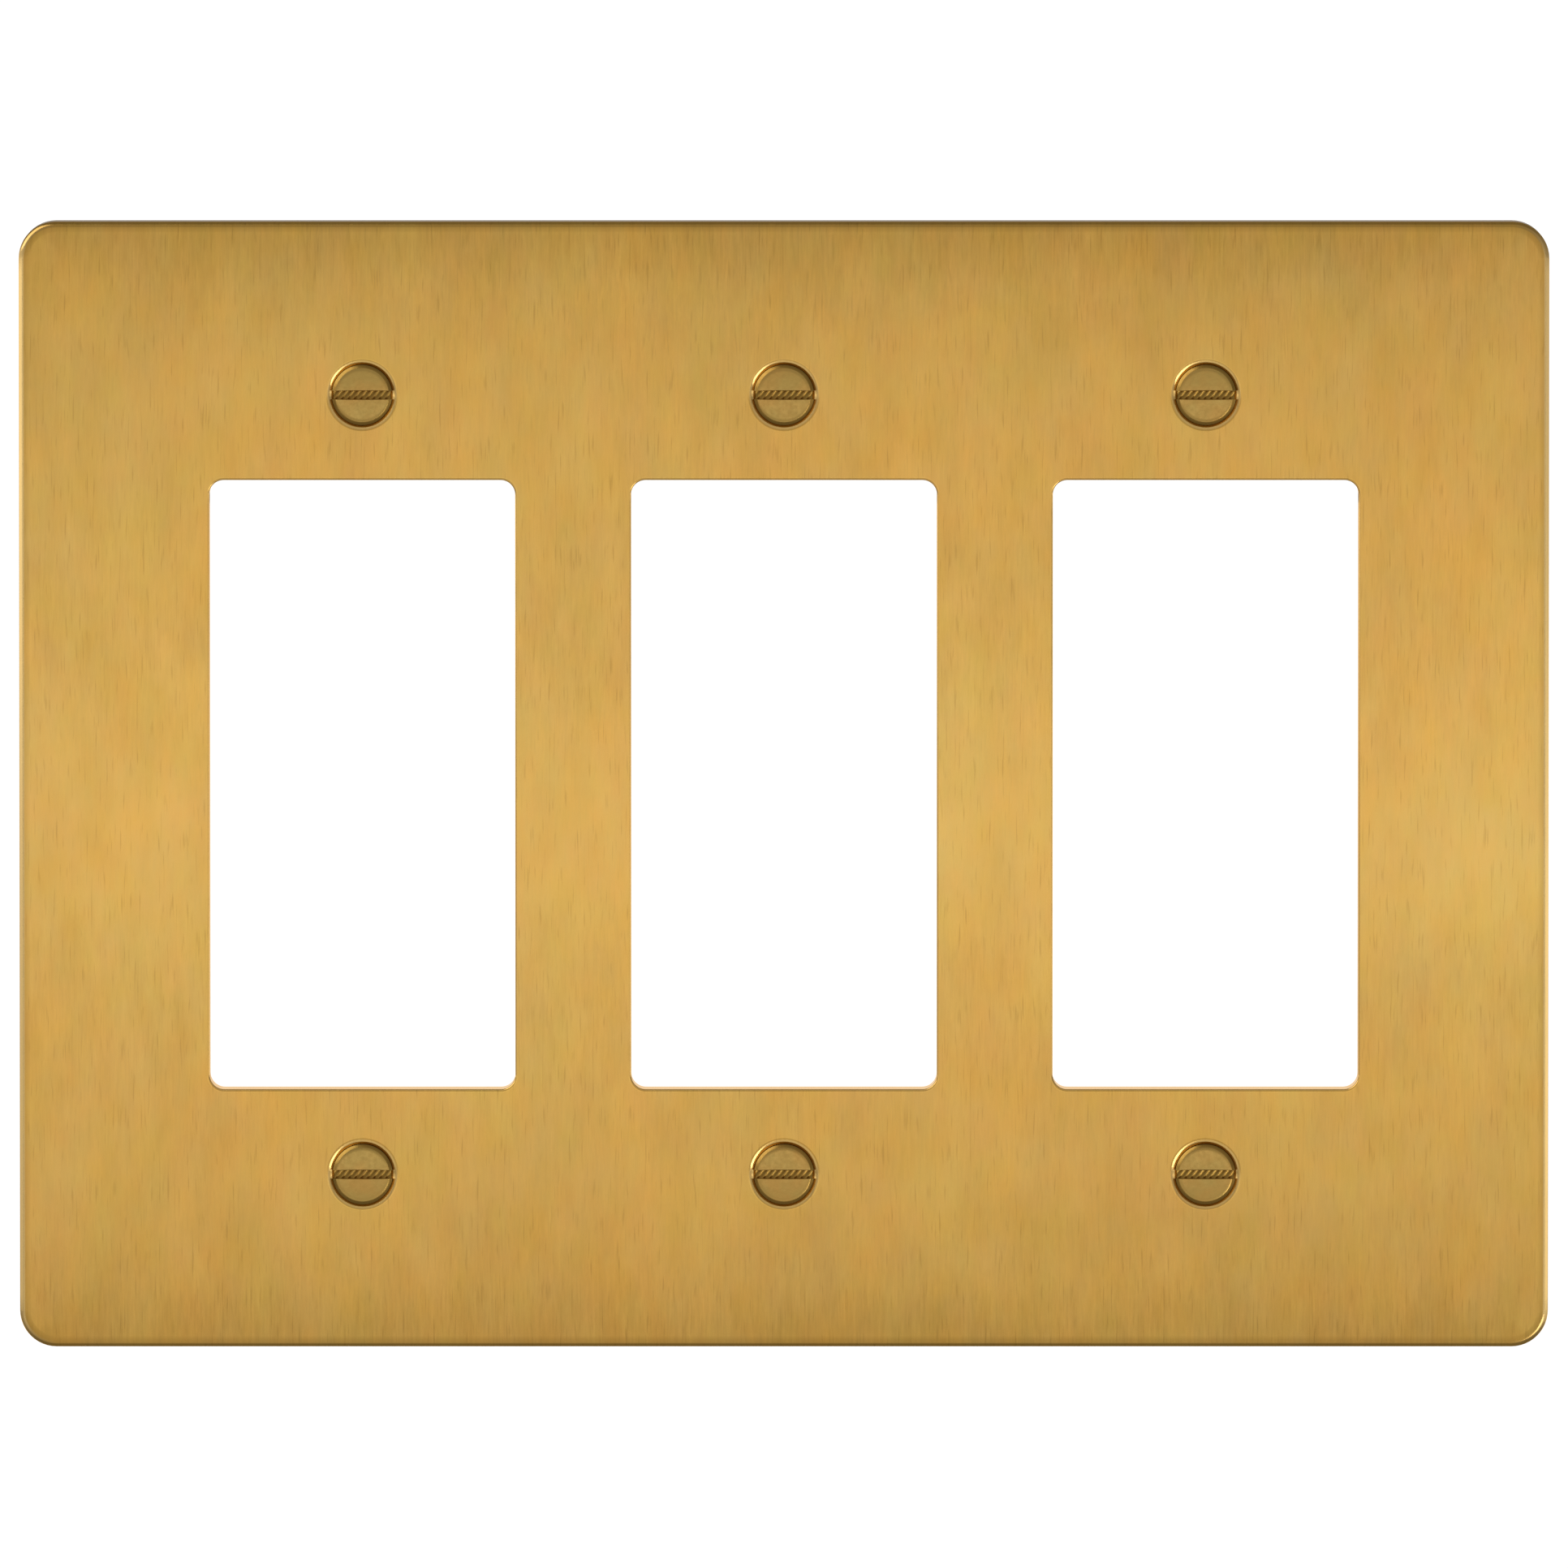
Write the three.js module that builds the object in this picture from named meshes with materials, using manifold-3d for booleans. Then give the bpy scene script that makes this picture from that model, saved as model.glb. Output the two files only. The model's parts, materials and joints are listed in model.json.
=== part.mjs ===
// Three-gang rocker-switch wall plate in satin brass, with six slotted oval-head screws
// and the small nylon retainers that keep the screws in the plate before it is fitted.
//
// Millimetres. +X runs along the plate's width, to the right as seen from the front.
// +Z is up. +Y runs into the wall, so the face looks along -Y. The origin is the centre
// of the plate on the wall plane, which the back rim rests on.
import * as THREE from 'three';
import { mergeVertices } from 'three/addons/utils/BufferGeometryUtils.js';
import Module from 'manifold-3d';

// Plate: a shallow tray with its face forward
const PLATE_WIDTH = 167;
const PLATE_HEIGHT = 123;
const PLATE_DEPTH = 6;
const PLATE_CORNER_RADIUS = 4;
const FACE_THICKNESS = 2.2;
const RIM_WALL = 2;
const EDGE_RADIUS = 0.8;

// Windows, one for each gang, and the lip that stands behind each window's edge
const GANG_COUNT = 3;
const GANG_PITCH = 46.04;
const WINDOW_WIDTH = 33.4;
const WINDOW_HEIGHT = 66.6;
const WINDOW_CORNER_RADIUS = 1.6;
const WINDOW_EDGE_RADIUS = 0.25;
const LIP_WALL = 1.6;
const LIP_CLEARANCE = 1;

// Screw seats: a countersink in a round boss on the back of the face
const SCREW_SPACING = 85.2;
const COUNTERSINK_HALF_ANGLE = THREE.MathUtils.degToRad(41);
const SEAT_LIP_RADIUS = 3.82;
const SEAT_MOUTH_RADIUS = 3.5;
const SEAT_LIP_DEPTH = 0.2;
const CLEARANCE_HOLE_RADIUS = 1.95;
const BOSS_RADIUS = 5;
const BOSS_DEPTH = 3.4;

// Screws: #6-32 x 1/2 in, slotted, with a low oval head
const THREAD_RADIUS = 1.7526;
const THREAD_PITCH = 25.4 / 32;
const SCREW_LENGTH = 12.7;
const SCREW_POINT = 0.7;
const HEAD_RIM_RADIUS = 3.25;
const HEAD_LAND_DEPTH = 0.15;
const HEAD_TOP_RADIUS = 2.9;
const HEAD_CROWN = 0.5;
const HEAD_SHOULDER = 0.36;
const SLOT_WIDTH = 1;
const SLOT_DEPTH = 1.15;

// Retainers: a disc with a short hub, pushed on the thread behind the plate
const RETAINER_RADIUS = 4;
const RETAINER_THICKNESS = 0.8;
const RETAINER_HUB_RADIUS = 2.8;
const RETAINER_LENGTH = 1.6;
const RETAINER_BORE_RADIUS = 1.9;
const BACK_OUT_TURNS = 8.25;
const RETAINER_STOP_GAP = 0.25;

// Fineness of the round forms, and how far a cutter runs past what it cuts
const LATHE_SEGMENTS = 32;
const CORNER_STEPS = 6;
const EDGE_STEPS = 4;
const OVERRUN = 1;

const FACE_Y = -PLATE_DEPTH;
const FACE_BACK_Y = FACE_Y + FACE_THICKNESS;
const BOSS_BACK_Y = FACE_Y + BOSS_DEPTH;

const wasm = await Module();
wasm.setup();

const brass = new THREE.MeshStandardMaterial({ color: 0xc89e4b, roughness: 0.34, metalness: 1 });
const screwBrass = new THREE.MeshStandardMaterial({ color: 0xb18d46, roughness: 0.3, metalness: 1 });
const nylon = new THREE.MeshStandardMaterial({ color: 0xe8e4d8, roughness: 0.55, metalness: 0 });

// Booleans ------------------------------------------------------------------------------

// A closed geometry as a solid: its points are merged, and triangles that lie on a lathe's
// axis, with two corners in one point, are dropped.
function solid(geometry) {
  const bare = geometry.clone();
  bare.deleteAttribute('normal');
  bare.deleteAttribute('uv');
  const merged = mergeVertices(bare);
  const index = merged.index.array;
  const triangles = [];
  for (let i = 0; i < index.length; i += 3) {
    const [a, b, c] = [index[i], index[i + 1], index[i + 2]];
    if (a !== b && b !== c && c !== a) triangles.push(a, b, c);
  }
  return new wasm.Manifold(new wasm.Mesh({
    numProp: 3,
    vertProperties: new Float32Array(merged.attributes.position.array),
    triVerts: new Uint32Array(triangles),
  }));
}

function geometryOf(manifold) {
  const { vertProperties, triVerts } = manifold.getMesh();
  const geometry = new THREE.BufferGeometry();
  geometry.setAttribute('position', new THREE.BufferAttribute(vertProperties, 3));
  geometry.setIndex(new THREE.BufferAttribute(triVerts, 1));
  geometry.computeVertexNormals();
  return geometry;
}

const join = (base, others) => others.reduce((sum, other) => sum.add(other), base);
const cut = (base, cutters) => cutters.reduce((rest, cutter) => rest.subtract(cutter), base);

// Outlines and stacks ---------------------------------------------------------------------

// A rounded rectangle about the origin, anticlockwise with x to the right and z up.
function roundedRectangle(width, height, radius) {
  const corners = [[1, 1], [-1, 1], [-1, -1], [1, -1]];
  const points = [];
  corners.forEach(([right, up], quarter) => {
    for (let step = 0; step <= CORNER_STEPS; step += 1) {
      const angle = (quarter + step / CORNER_STEPS) * Math.PI / 2;
      points.push([
        right * (width / 2 - radius) + radius * Math.cos(angle),
        up * (height / 2 - radius) + radius * Math.sin(angle),
      ]);
    }
  });
  return points;
}

// A closed solid through convex outlines of equal length, listed from front to back.
function stack(sections) {
  const count = sections[0].outline.length;
  const positions = sections.flatMap(({ y, outline }) => outline.flatMap(([x, z]) => [x, y, z]));
  const last = (sections.length - 1) * count;
  const index = [];
  for (let i = 1; i < count - 1; i += 1) {
    index.push(0, i, i + 1);
    index.push(last, last + i + 1, last + i);
  }
  for (let ring = 0; ring < last; ring += count) {
    for (let i = 0; i < count; i += 1) {
      const a = ring + i;
      const b = ring + (i + 1) % count;
      index.push(a, a + count, b);
      index.push(b, a + count, b + count);
    }
  }
  const geometry = new THREE.BufferGeometry();
  geometry.setAttribute('position', new THREE.Float32BufferAttribute(positions, 3));
  geometry.setIndex(index);
  return geometry;
}

// Where a quarter-round edge stands at each step: how far in from the side, and how far back
// from the face.
function quarterRound(radius) {
  return Array.from({ length: EDGE_STEPS + 1 }, (_, step) => {
    const angle = (step / EDGE_STEPS) * Math.PI / 2;
    return { inset: radius * (1 - Math.sin(angle)), back: radius * (1 - Math.cos(angle)) };
  });
}

// Plate --------------------------------------------------------------------------------------

const gangCentres = Array.from(
  { length: GANG_COUNT },
  (_, gang) => (gang - (GANG_COUNT - 1) / 2) * GANG_PITCH,
);

// The outside of the plate, with its front edge rounded.
function plateBlank() {
  const section = (inset, y) => ({
    y,
    outline: roundedRectangle(
      PLATE_WIDTH - 2 * inset,
      PLATE_HEIGHT - 2 * inset,
      PLATE_CORNER_RADIUS - inset,
    ),
  });
  const edge = quarterRound(EDGE_RADIUS).map(({ inset, back }) => section(inset, FACE_Y + back));
  return stack([...edge, section(0, 0)]);
}

// The hollow behind the face, open at the wall plane.
function hollowCutter() {
  const outline = roundedRectangle(
    PLATE_WIDTH - 2 * RIM_WALL,
    PLATE_HEIGHT - 2 * RIM_WALL,
    PLATE_CORNER_RADIUS - RIM_WALL,
  );
  return stack([{ y: FACE_BACK_Y, outline }, { y: OVERRUN, outline }]);
}

// The block that stands behind the face around a window and ends a little short of the wall.
function windowLip(x) {
  const outline = roundedRectangle(
    WINDOW_WIDTH + 2 * LIP_WALL,
    WINDOW_HEIGHT + 2 * LIP_WALL,
    WINDOW_CORNER_RADIUS + LIP_WALL,
  );
  const front = FACE_BACK_Y - FACE_THICKNESS / 2;
  return stack([{ y: front, outline }, { y: -LIP_CLEARANCE, outline }]).translate(x, 0, 0);
}

// What a window takes out of the plate and its lip, flared where the front edge is rounded.
function windowCutter(x) {
  const section = (grow, y) => ({
    y,
    outline: roundedRectangle(
      WINDOW_WIDTH + 2 * grow,
      WINDOW_HEIGHT + 2 * grow,
      WINDOW_CORNER_RADIUS + grow,
    ),
  });
  const edge = quarterRound(WINDOW_EDGE_RADIUS)
    .map(({ inset, back }) => section(inset, FACE_Y + back));
  return stack([section(WINDOW_EDGE_RADIUS, FACE_Y - OVERRUN), ...edge, section(0, OVERRUN)])
    .translate(x, 0, 0);
}

// A turned form about an axis along Y, from [radius, y] pairs listed from front to back.
function turned(profile) {
  return new THREE.LatheGeometry(profile.map(([r, y]) => new THREE.Vector2(r, y)), LATHE_SEGMENTS);
}

function screwBoss(x, z) {
  const front = FACE_BACK_Y - FACE_THICKNESS / 2;
  return turned([[0, front], [BOSS_RADIUS, front], [BOSS_RADIUS, BOSS_BACK_Y], [0, BOSS_BACK_Y]])
    .translate(x, 0, z);
}

// The countersink and the clearance hole below it.
function seatCutter(x, z) {
  const mouthY = FACE_Y + SEAT_LIP_DEPTH;
  const coneDepth = (SEAT_MOUTH_RADIUS - CLEARANCE_HOLE_RADIUS) / Math.tan(COUNTERSINK_HALF_ANGLE);
  return turned([
    [0, FACE_Y - OVERRUN],
    [SEAT_LIP_RADIUS, FACE_Y - OVERRUN],
    [SEAT_LIP_RADIUS, FACE_Y],
    [SEAT_MOUTH_RADIUS, mouthY],
    [CLEARANCE_HOLE_RADIUS, mouthY + coneDepth],
    [CLEARANCE_HOLE_RADIUS, OVERRUN],
    [0, OVERRUN],
  ]).translate(x, 0, z);
}

function faceplate(screwCentres) {
  const tray = cut(solid(plateBlank()), [solid(hollowCutter())]);
  const backed = join(tray, [
    ...gangCentres.map((x) => solid(windowLip(x))),
    ...screwCentres.map(({ x, z }) => solid(screwBoss(x, z))),
  ]);
  return cut(backed, [
    ...gangCentres.map((x) => solid(windowCutter(x))),
    ...screwCentres.map(({ x, z }) => solid(seatCutter(x, z))),
  ]);
}

// Screws and retainers -----------------------------------------------------------------------

// A screw about its own axis, with its slot along X.
function screw() {
  const coneFront = FACE_Y + HEAD_LAND_DEPTH;
  const coneDepth = (HEAD_RIM_RADIUS - THREAD_RADIUS) / Math.tan(COUNTERSINK_HALF_ANGLE);
  const tip = FACE_Y + SCREW_LENGTH;
  const body = turned([
    [0, FACE_Y - HEAD_CROWN],
    [HEAD_TOP_RADIUS, FACE_Y - HEAD_SHOULDER],
    [HEAD_RIM_RADIUS, FACE_Y],
    [HEAD_RIM_RADIUS, coneFront],
    [THREAD_RADIUS, coneFront + coneDepth],
    [THREAD_RADIUS, tip - SCREW_POINT],
    [THREAD_RADIUS - SCREW_POINT, tip],
    [0, tip],
  ]);
  const slotHeight = SLOT_DEPTH + OVERRUN;
  const slot = new THREE.BoxGeometry(3 * HEAD_RIM_RADIUS, slotHeight, SLOT_WIDTH);
  slot.translate(0, FACE_Y - HEAD_CROWN + SLOT_DEPTH - slotHeight / 2, 0);
  return cut(solid(body), [solid(slot)]);
}

// A retainer about its screw's axis. It stands far enough behind its boss to let the screw
// back out by BACK_OUT_TURNS turns.
function retainer() {
  const front = BOSS_BACK_Y + BACK_OUT_TURNS * THREAD_PITCH + RETAINER_STOP_GAP;
  const back = front + RETAINER_LENGTH;
  return turned([
    [RETAINER_BORE_RADIUS, front],
    [RETAINER_RADIUS, front],
    [RETAINER_RADIUS, front + RETAINER_THICKNESS],
    [RETAINER_HUB_RADIUS, front + RETAINER_THICKNESS],
    [RETAINER_HUB_RADIUS, back],
    [RETAINER_BORE_RADIUS, back],
    [RETAINER_BORE_RADIUS, front],
  ]);
}

// Assembly -----------------------------------------------------------------------------------

const rows = [{ row: 'top', z: SCREW_SPACING / 2 }, { row: 'bottom', z: -SCREW_SPACING / 2 }];
const columns = ['left', 'centre', 'right'].map((column, gang) => ({ column, x: gangCentres[gang] }));
const screwCentres = rows.flatMap(({ row, z }) => (
  columns.map(({ column, x }) => ({ place: `${row}_${column}`, x, z }))
));

function piece(name, shape, material) {
  const mesh = new THREE.Mesh(geometryOf(shape), material);
  mesh.name = name;
  return mesh;
}

const plate = new THREE.Group();
plate.add(piece('faceplate', faceplate(screwCentres), brass));
for (const { place, x, z } of screwCentres) {
  const fastener = new THREE.Group();
  fastener.position.set(x, 0, z);
  fastener.add(piece(`screw_${place}`, screw(), screwBrass));
  fastener.add(piece(`retainer_${place}`, solid(retainer()), nylon));
  plate.add(fastener);
}

export default plate;
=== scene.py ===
import json
import math

import bmesh
import bpy
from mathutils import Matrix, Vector
from mathutils.geometry import delaunay_2d_cdt


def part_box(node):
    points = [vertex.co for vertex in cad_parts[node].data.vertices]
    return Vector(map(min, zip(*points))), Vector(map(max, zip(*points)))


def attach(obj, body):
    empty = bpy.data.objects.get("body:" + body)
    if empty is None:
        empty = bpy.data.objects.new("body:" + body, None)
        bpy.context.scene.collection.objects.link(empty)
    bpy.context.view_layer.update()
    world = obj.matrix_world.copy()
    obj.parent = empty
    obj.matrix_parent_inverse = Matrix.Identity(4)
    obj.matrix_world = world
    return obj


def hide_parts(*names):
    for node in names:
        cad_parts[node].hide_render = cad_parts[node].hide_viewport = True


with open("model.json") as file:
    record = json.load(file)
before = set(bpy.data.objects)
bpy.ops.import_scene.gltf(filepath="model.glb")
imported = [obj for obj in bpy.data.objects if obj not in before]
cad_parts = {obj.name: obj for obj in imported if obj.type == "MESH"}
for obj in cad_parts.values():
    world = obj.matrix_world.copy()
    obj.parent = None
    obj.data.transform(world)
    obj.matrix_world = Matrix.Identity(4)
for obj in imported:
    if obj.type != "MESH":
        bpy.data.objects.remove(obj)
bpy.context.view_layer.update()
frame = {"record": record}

MM = 0.001

# The plate. Its box comes from the frame.
PLATE_LOW, PLATE_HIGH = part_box("faceplate")
PLATE_WIDTH = PLATE_HIGH.x - PLATE_LOW.x
PLATE_HEIGHT = PLATE_HIGH.z - PLATE_LOW.z
FACE_Y = PLATE_LOW.y
WALL_Y = PLATE_HIGH.y
PLATE_CORNER = 4 * MM
EDGE_RADIUS = 0.6 * MM
RIM_WALL = 2 * MM
FACE_BACK_Y = FACE_Y + 2.2 * MM
BACK_FILLET = 0.6 * MM
SMALL_EDGE = 0.2 * MM
FACE_SPACING = 1.6 * MM
BACK_SPACING = 3 * MM

# How the face settles towards its edges: a shallow crown with mitred corners
CROWN_DEPTH = 0.02 * MM
CROWN_FROM_TOP = 6 * MM
CROWN_FROM_SIDE = 9 * MM
CROWN_FADE = 1.5 * MM
CROWN_RINGS = (3.0 * MM, 2.3 * MM, 1.7 * MM, 1.2 * MM)
MARGIN = 0.15 * MM

# How much polish with a painted highlight, and how much painted shade, each edge of the plate carries,
# from 0 to 1
SIDE_EDGE_POLISH_AND_HIGHLIGHT = 0.8
SEAT_EDGE_POLISH_AND_HIGHLIGHT = 0.4
WINDOW_EDGE_POLISH_AND_HIGHLIGHT = 0.25
# Painted shade: a thin line where the outer edge starts, the top and bottom edges with more at the
# corners, and the countersinks
EDGE_START_SHADE = 0.25
LEVEL_EDGE_SHADE = 0.45
CORNER_SHADE = 0.45
COUNTERSINK_SHADE = 0.9

# Windows
WINDOW_BOXES = [opening["box_m"] for opening in frame["record"]["physics"]["openings"]]
WINDOW_CENTRES = [(low[0] + high[0]) / 2 for low, high in WINDOW_BOXES]
WINDOW_WIDTH = 33.4 * MM
WINDOW_HEIGHT = 66.6 * MM
WINDOW_CORNER = 1.6 * MM
WINDOW_EDGE = 0.18 * MM
LIP_WALL = 1.6 * MM
LIP_BACK_Y = WALL_Y - 1 * MM

# Screw seats
SEAT_LIP = 3.82 * MM
SEAT_MOUTH = 3.34 * MM
SEAT_LIP_DEPTH = 0.15 * MM
CONE_SLOPE = math.tan(math.radians(41))
CLEARANCE_HOLE = 1.95 * MM
BOSS_RADIUS = 5 * MM
BOSS_BACK_Y = FACE_Y + 3.4 * MM

# Screws
PITCH = 25.4 / 32 * MM
THREAD_MAJOR = 1.75 * MM
THREAD_MINOR = 1.32 * MM
HEAD_RIM = 3.3 * MM
HEAD_FLAT = 2.96 * MM
HEAD_CROWN = 0.5 * MM
HEAD_BEVEL = math.radians(35)
HEAD_LAND = 0.17 * MM
SCREW_TIP_Y = FACE_Y + 12.7 * MM
POINT_LENGTH = 0.7 * MM
SLOT_WIDTH = 0.92 * MM
SLOT_DEPTH = 0.9 * MM
SLOT_CHAMFER = 0.07 * MM
MARK_PITCH = 0.68 * MM
MARK_SLANT = 0.75
MARK_HEIGHT = 0.05 * MM

# Retainers
RETAINER_RADIUS = 4 * MM
RETAINER_THICKNESS = 0.8 * MM
RETAINER_HUB = 2.8 * MM
RETAINER_BORE = 1.9 * MM

PLACES = [f"{row}_{column}" for row in ("top", "bottom") for column in ("left", "centre", "right")]


def middle(node):
    """The centre of a CAD node's box."""
    low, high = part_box(node)
    return (low + high) / 2


SCREW_CENTRES = [middle(f"screw_{place}") for place in PLACES]


# Nodes ---------------------------------------------------------------------------------------


class Shader:
    """A material's node tree, with short calls for the nodes that the materials share."""

    def __init__(self, name):
        self.material = bpy.data.materials.new(name)
        self.material.use_nodes = True
        self.nodes = self.material.node_tree.nodes
        self.links = self.material.node_tree.links
        self.surface = self.nodes["Principled BSDF"]
        self.place = self.nodes.new("ShaderNodeTexCoord").outputs["Object"]

    def connect(self, value, socket):
        """Sets a socket to a number or colour, or links it to another node's output."""
        if isinstance(value, bpy.types.NodeSocket):
            self.links.new(value, socket)
        else:
            socket.default_value = value

    def scaled(self, x, y, z):
        """The object's own coordinates, in metres, stretched along each axis."""
        node = self.nodes.new("ShaderNodeVectorMath")
        node.operation = "MULTIPLY"
        self.links.new(self.place, node.inputs[0])
        node.inputs[1].default_value = (x, y, z)
        return node.outputs["Vector"]

    def noise(self, vector, detail=2.0, roughness=0.5):
        node = self.nodes.new("ShaderNodeTexNoise")
        self.links.new(vector, node.inputs["Vector"])
        node.inputs["Scale"].default_value = 1.0
        node.inputs["Detail"].default_value = detail
        node.inputs["Roughness"].default_value = roughness
        return node.outputs["Fac"]

    def ramp(self, value, low, high, out_low=0.0, out_high=1.0):
        """value from low to high, mapped to out_low to out_high and held beyond them."""
        node = self.nodes.new("ShaderNodeMapRange")
        self.connect(value, node.inputs["Value"])
        node.inputs["From Min"].default_value = low
        node.inputs["From Max"].default_value = high
        node.inputs["To Min"].default_value = out_low
        node.inputs["To Max"].default_value = out_high
        return node.outputs["Result"]

    def maths(self, operation, a, b):
        node = self.nodes.new("ShaderNodeMath")
        node.operation = operation
        self.connect(a, node.inputs[0])
        self.connect(b, node.inputs[1])
        return node.outputs["Value"]

    def mix(self, factor, a, b, blend="MIX"):
        """Two colours mixed by factor. The node's colour sockets share their names with others."""
        node = self.nodes.new("ShaderNodeMix")
        node.data_type = "RGBA"
        node.blend_type = blend
        self.connect(factor, node.inputs["Factor"])
        self.connect(a, node.inputs[6])
        self.connect(b, node.inputs[7])
        return node.outputs[2]

    def attribute(self, name):
        node = self.nodes.new("ShaderNodeAttribute")
        node.attribute_name = name
        return node.outputs["Fac"]

    def bump(self, height, distance):
        node = self.nodes.new("ShaderNodeBump")
        node.inputs["Distance"].default_value = distance
        self.connect(height, node.inputs["Height"])
        return node.outputs["Normal"]

    def finish(self, colour, roughness, normal, metallic=0.0, anisotropic=0.0):
        """Joins everything to the surface.

        A brushed metal spreads its highlights along one fixed direction, so that they run the
        same way on every side of the piece.
        """
        self.connect(colour, self.surface.inputs["Base Color"])
        self.connect(roughness, self.surface.inputs["Roughness"])
        self.connect(normal, self.surface.inputs["Normal"])
        self.surface.inputs["Metallic"].default_value = metallic
        if metallic:
            self.surface.inputs["Specular Tint"].default_value = BRASS_GRAZING
        if anisotropic:
            self.surface.inputs["Anisotropic"].default_value = anisotropic
            across = self.nodes.new("ShaderNodeCombineXYZ")
            across.inputs["X"].default_value, across.inputs["Y"].default_value = BRUSH_TANGENT
            self.links.new(across.outputs["Vector"], self.surface.inputs["Tangent"])
        return self.material


# Materials -----------------------------------------------------------------------------------

BRASS_WARM = (0.668, 0.366, 0.080, 1)
BRASS_COOL = (0.630, 0.392, 0.092, 1)
BRASS_DARK = (0.300, 0.165, 0.034, 1)
# Pale brass for polished edges, which also paints a highlight on the side edges, seat lips and window
# edges
BRASS_PALE = (0.880, 0.610, 0.250, 1)
BRASS_CAST = (0.420, 0.245, 0.060, 1)
# Dark brown painted shade, for the plate's top and bottom edges, its countersinks and the screws' slots
# and bevels
BRASS_PAINTED_SHADE = (0.190, 0.100, 0.016, 1)
BRASS_GRAZING = (0.95, 0.74, 0.42, 1)
SCREW_COOL = (0.48, 0.31, 0.082, 1)
SCREW_WARM = (0.52, 0.30, 0.076, 1)
NYLON_PALE = (0.80, 0.77, 0.68, 1)
NYLON_DEEP = (0.72, 0.68, 0.58, 1)
FLOOR_DEEP = (0.74, 0.74, 0.73, 1)
FLOOR_PALE = (0.80, 0.80, 0.79, 1)
WHITE = (1, 1, 1, 1)
BRUSH_TANGENT = (1.0, 0.3)


def plate_brass():
    """Satin brass, brushed upwards on the face, polished on its edges and as cast behind, with a
    painted highlight on the side edges and seat lips and painted shade on the top and bottom edges and
    in the countersinks.
    """
    s = Shader("plate_brass")
    # Brushing in fine hairs, strands and wide bands, all of them longest upwards
    hair = s.noise(s.scaled(5200, 2600, 380), detail=3, roughness=0.6)
    strand = s.noise(s.scaled(1700, 900, 240), detail=2)
    wide = s.noise(s.scaled(240, 240, 110), detail=3)
    scratch = s.ramp(s.noise(s.scaled(4200, 2000, 260), detail=1), 0.60, 0.74)
    # A hue that drifts between warm and cool, with small stains
    cloud = s.noise(s.scaled(75, 75, 40), detail=2)
    stain = s.noise(s.scaled(380, 380, 190), detail=2)
    hue = s.maths("ADD", s.ramp(cloud, 0.35, 0.65, 0.22, 0.78), s.ramp(stain, 0.3, 0.7, -0.3, 0.3))
    colour = s.mix(hue, BRASS_WARM, BRASS_COOL)
    # A tone that varies at every scale, and in blue a little more
    tone = s.maths("ADD", s.ramp(hair, 0.3, 0.7, 0.965, 1.035), s.ramp(strand, 0.3, 0.7, -0.03, 0.03))
    tone = s.maths("ADD", tone, s.ramp(wide, 0.3, 0.7, -0.05, 0.05))
    tone = s.maths("ADD", tone, s.ramp(s.noise(s.scaled(40, 40, 25)), 0.3, 0.7, -0.035, 0.035))
    blue = s.maths("ADD", tone, s.ramp(s.noise(s.scaled(260, 260, 160)), 0.3, 0.7, -0.08, 0.08))
    tint = s.nodes.new("ShaderNodeCombineColor")
    for channel, value in (("Red", tone), ("Green", tone), ("Blue", blue)):
        s.connect(value, tint.inputs[channel])
    colour = s.mix(1.0, colour, tint.outputs["Color"], blend="MULTIPLY")
    colour = s.mix(s.maths("MULTIPLY", scratch, 0.3), colour, BRASS_DARK)
    # Polish with a painted highlight on the edges, the cast back, and painted shade on the edges and
    # countersinks, where the mesh says they are
    polish_and_highlight = s.attribute("polish_and_highlight")
    cast = s.attribute("cast")
    shaded = s.attribute("painted_shade")
    colour = s.mix(polish_and_highlight, colour, BRASS_PALE)
    colour = s.mix(cast, colour, BRASS_CAST)
    colour = s.mix(shaded, colour, BRASS_PAINTED_SHADE)
    # Roughness and relief: brushed in front, pebbled behind
    pebble = s.noise(s.scaled(2600, 2600, 2600), detail=3)
    brushed = s.maths("ADD", s.ramp(hair, 0.3, 0.7, 0.11, 0.15), s.ramp(strand, 0.3, 0.7, -0.01, 0.01))
    brushed = s.maths("ADD", brushed, s.maths("MULTIPLY", polish_and_highlight, 0.12))
    roughness = s.maths("ADD", brushed, s.maths("MULTIPLY", cast, s.ramp(pebble, 0.3, 0.7, 0.12, 0.24)))
    grain = s.maths("ADD", s.maths("MULTIPLY", hair, 0.7), s.maths("MULTIPLY", strand, 0.6))
    height = s.mix(cast, grain, s.maths("MULTIPLY", pebble, 4.0))
    return s.finish(colour, roughness, s.bump(height, 4e-6), metallic=1.0, anisotropic=0.9)


def screw_brass():
    """Turned brass, a little darker than the plate, with painted shade in its slot and on the bevel
    round its head.
    """
    s = Shader("screw_brass")
    fine = s.noise(s.scaled(2400, 2400, 2400), detail=3)
    soft = s.noise(s.scaled(420, 420, 420), detail=2)
    colour = s.mix(s.ramp(soft, 0.35, 0.65), SCREW_COOL, SCREW_WARM)
    colour = s.mix(s.ramp(fine, 0.35, 0.75, 0.0, 0.18), colour, BRASS_DARK)
    # Painted shade in the slot and on the head's bevel
    shaded = s.attribute("painted_shade")
    colour = s.mix(shaded, colour, BRASS_PAINTED_SHADE)
    roughness = s.maths("ADD", s.ramp(fine, 0.3, 0.7, 0.16, 0.24), s.maths("MULTIPLY", shaded, 0.15))
    return s.finish(colour, roughness, s.bump(fine, 5e-6), metallic=1.0)


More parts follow.
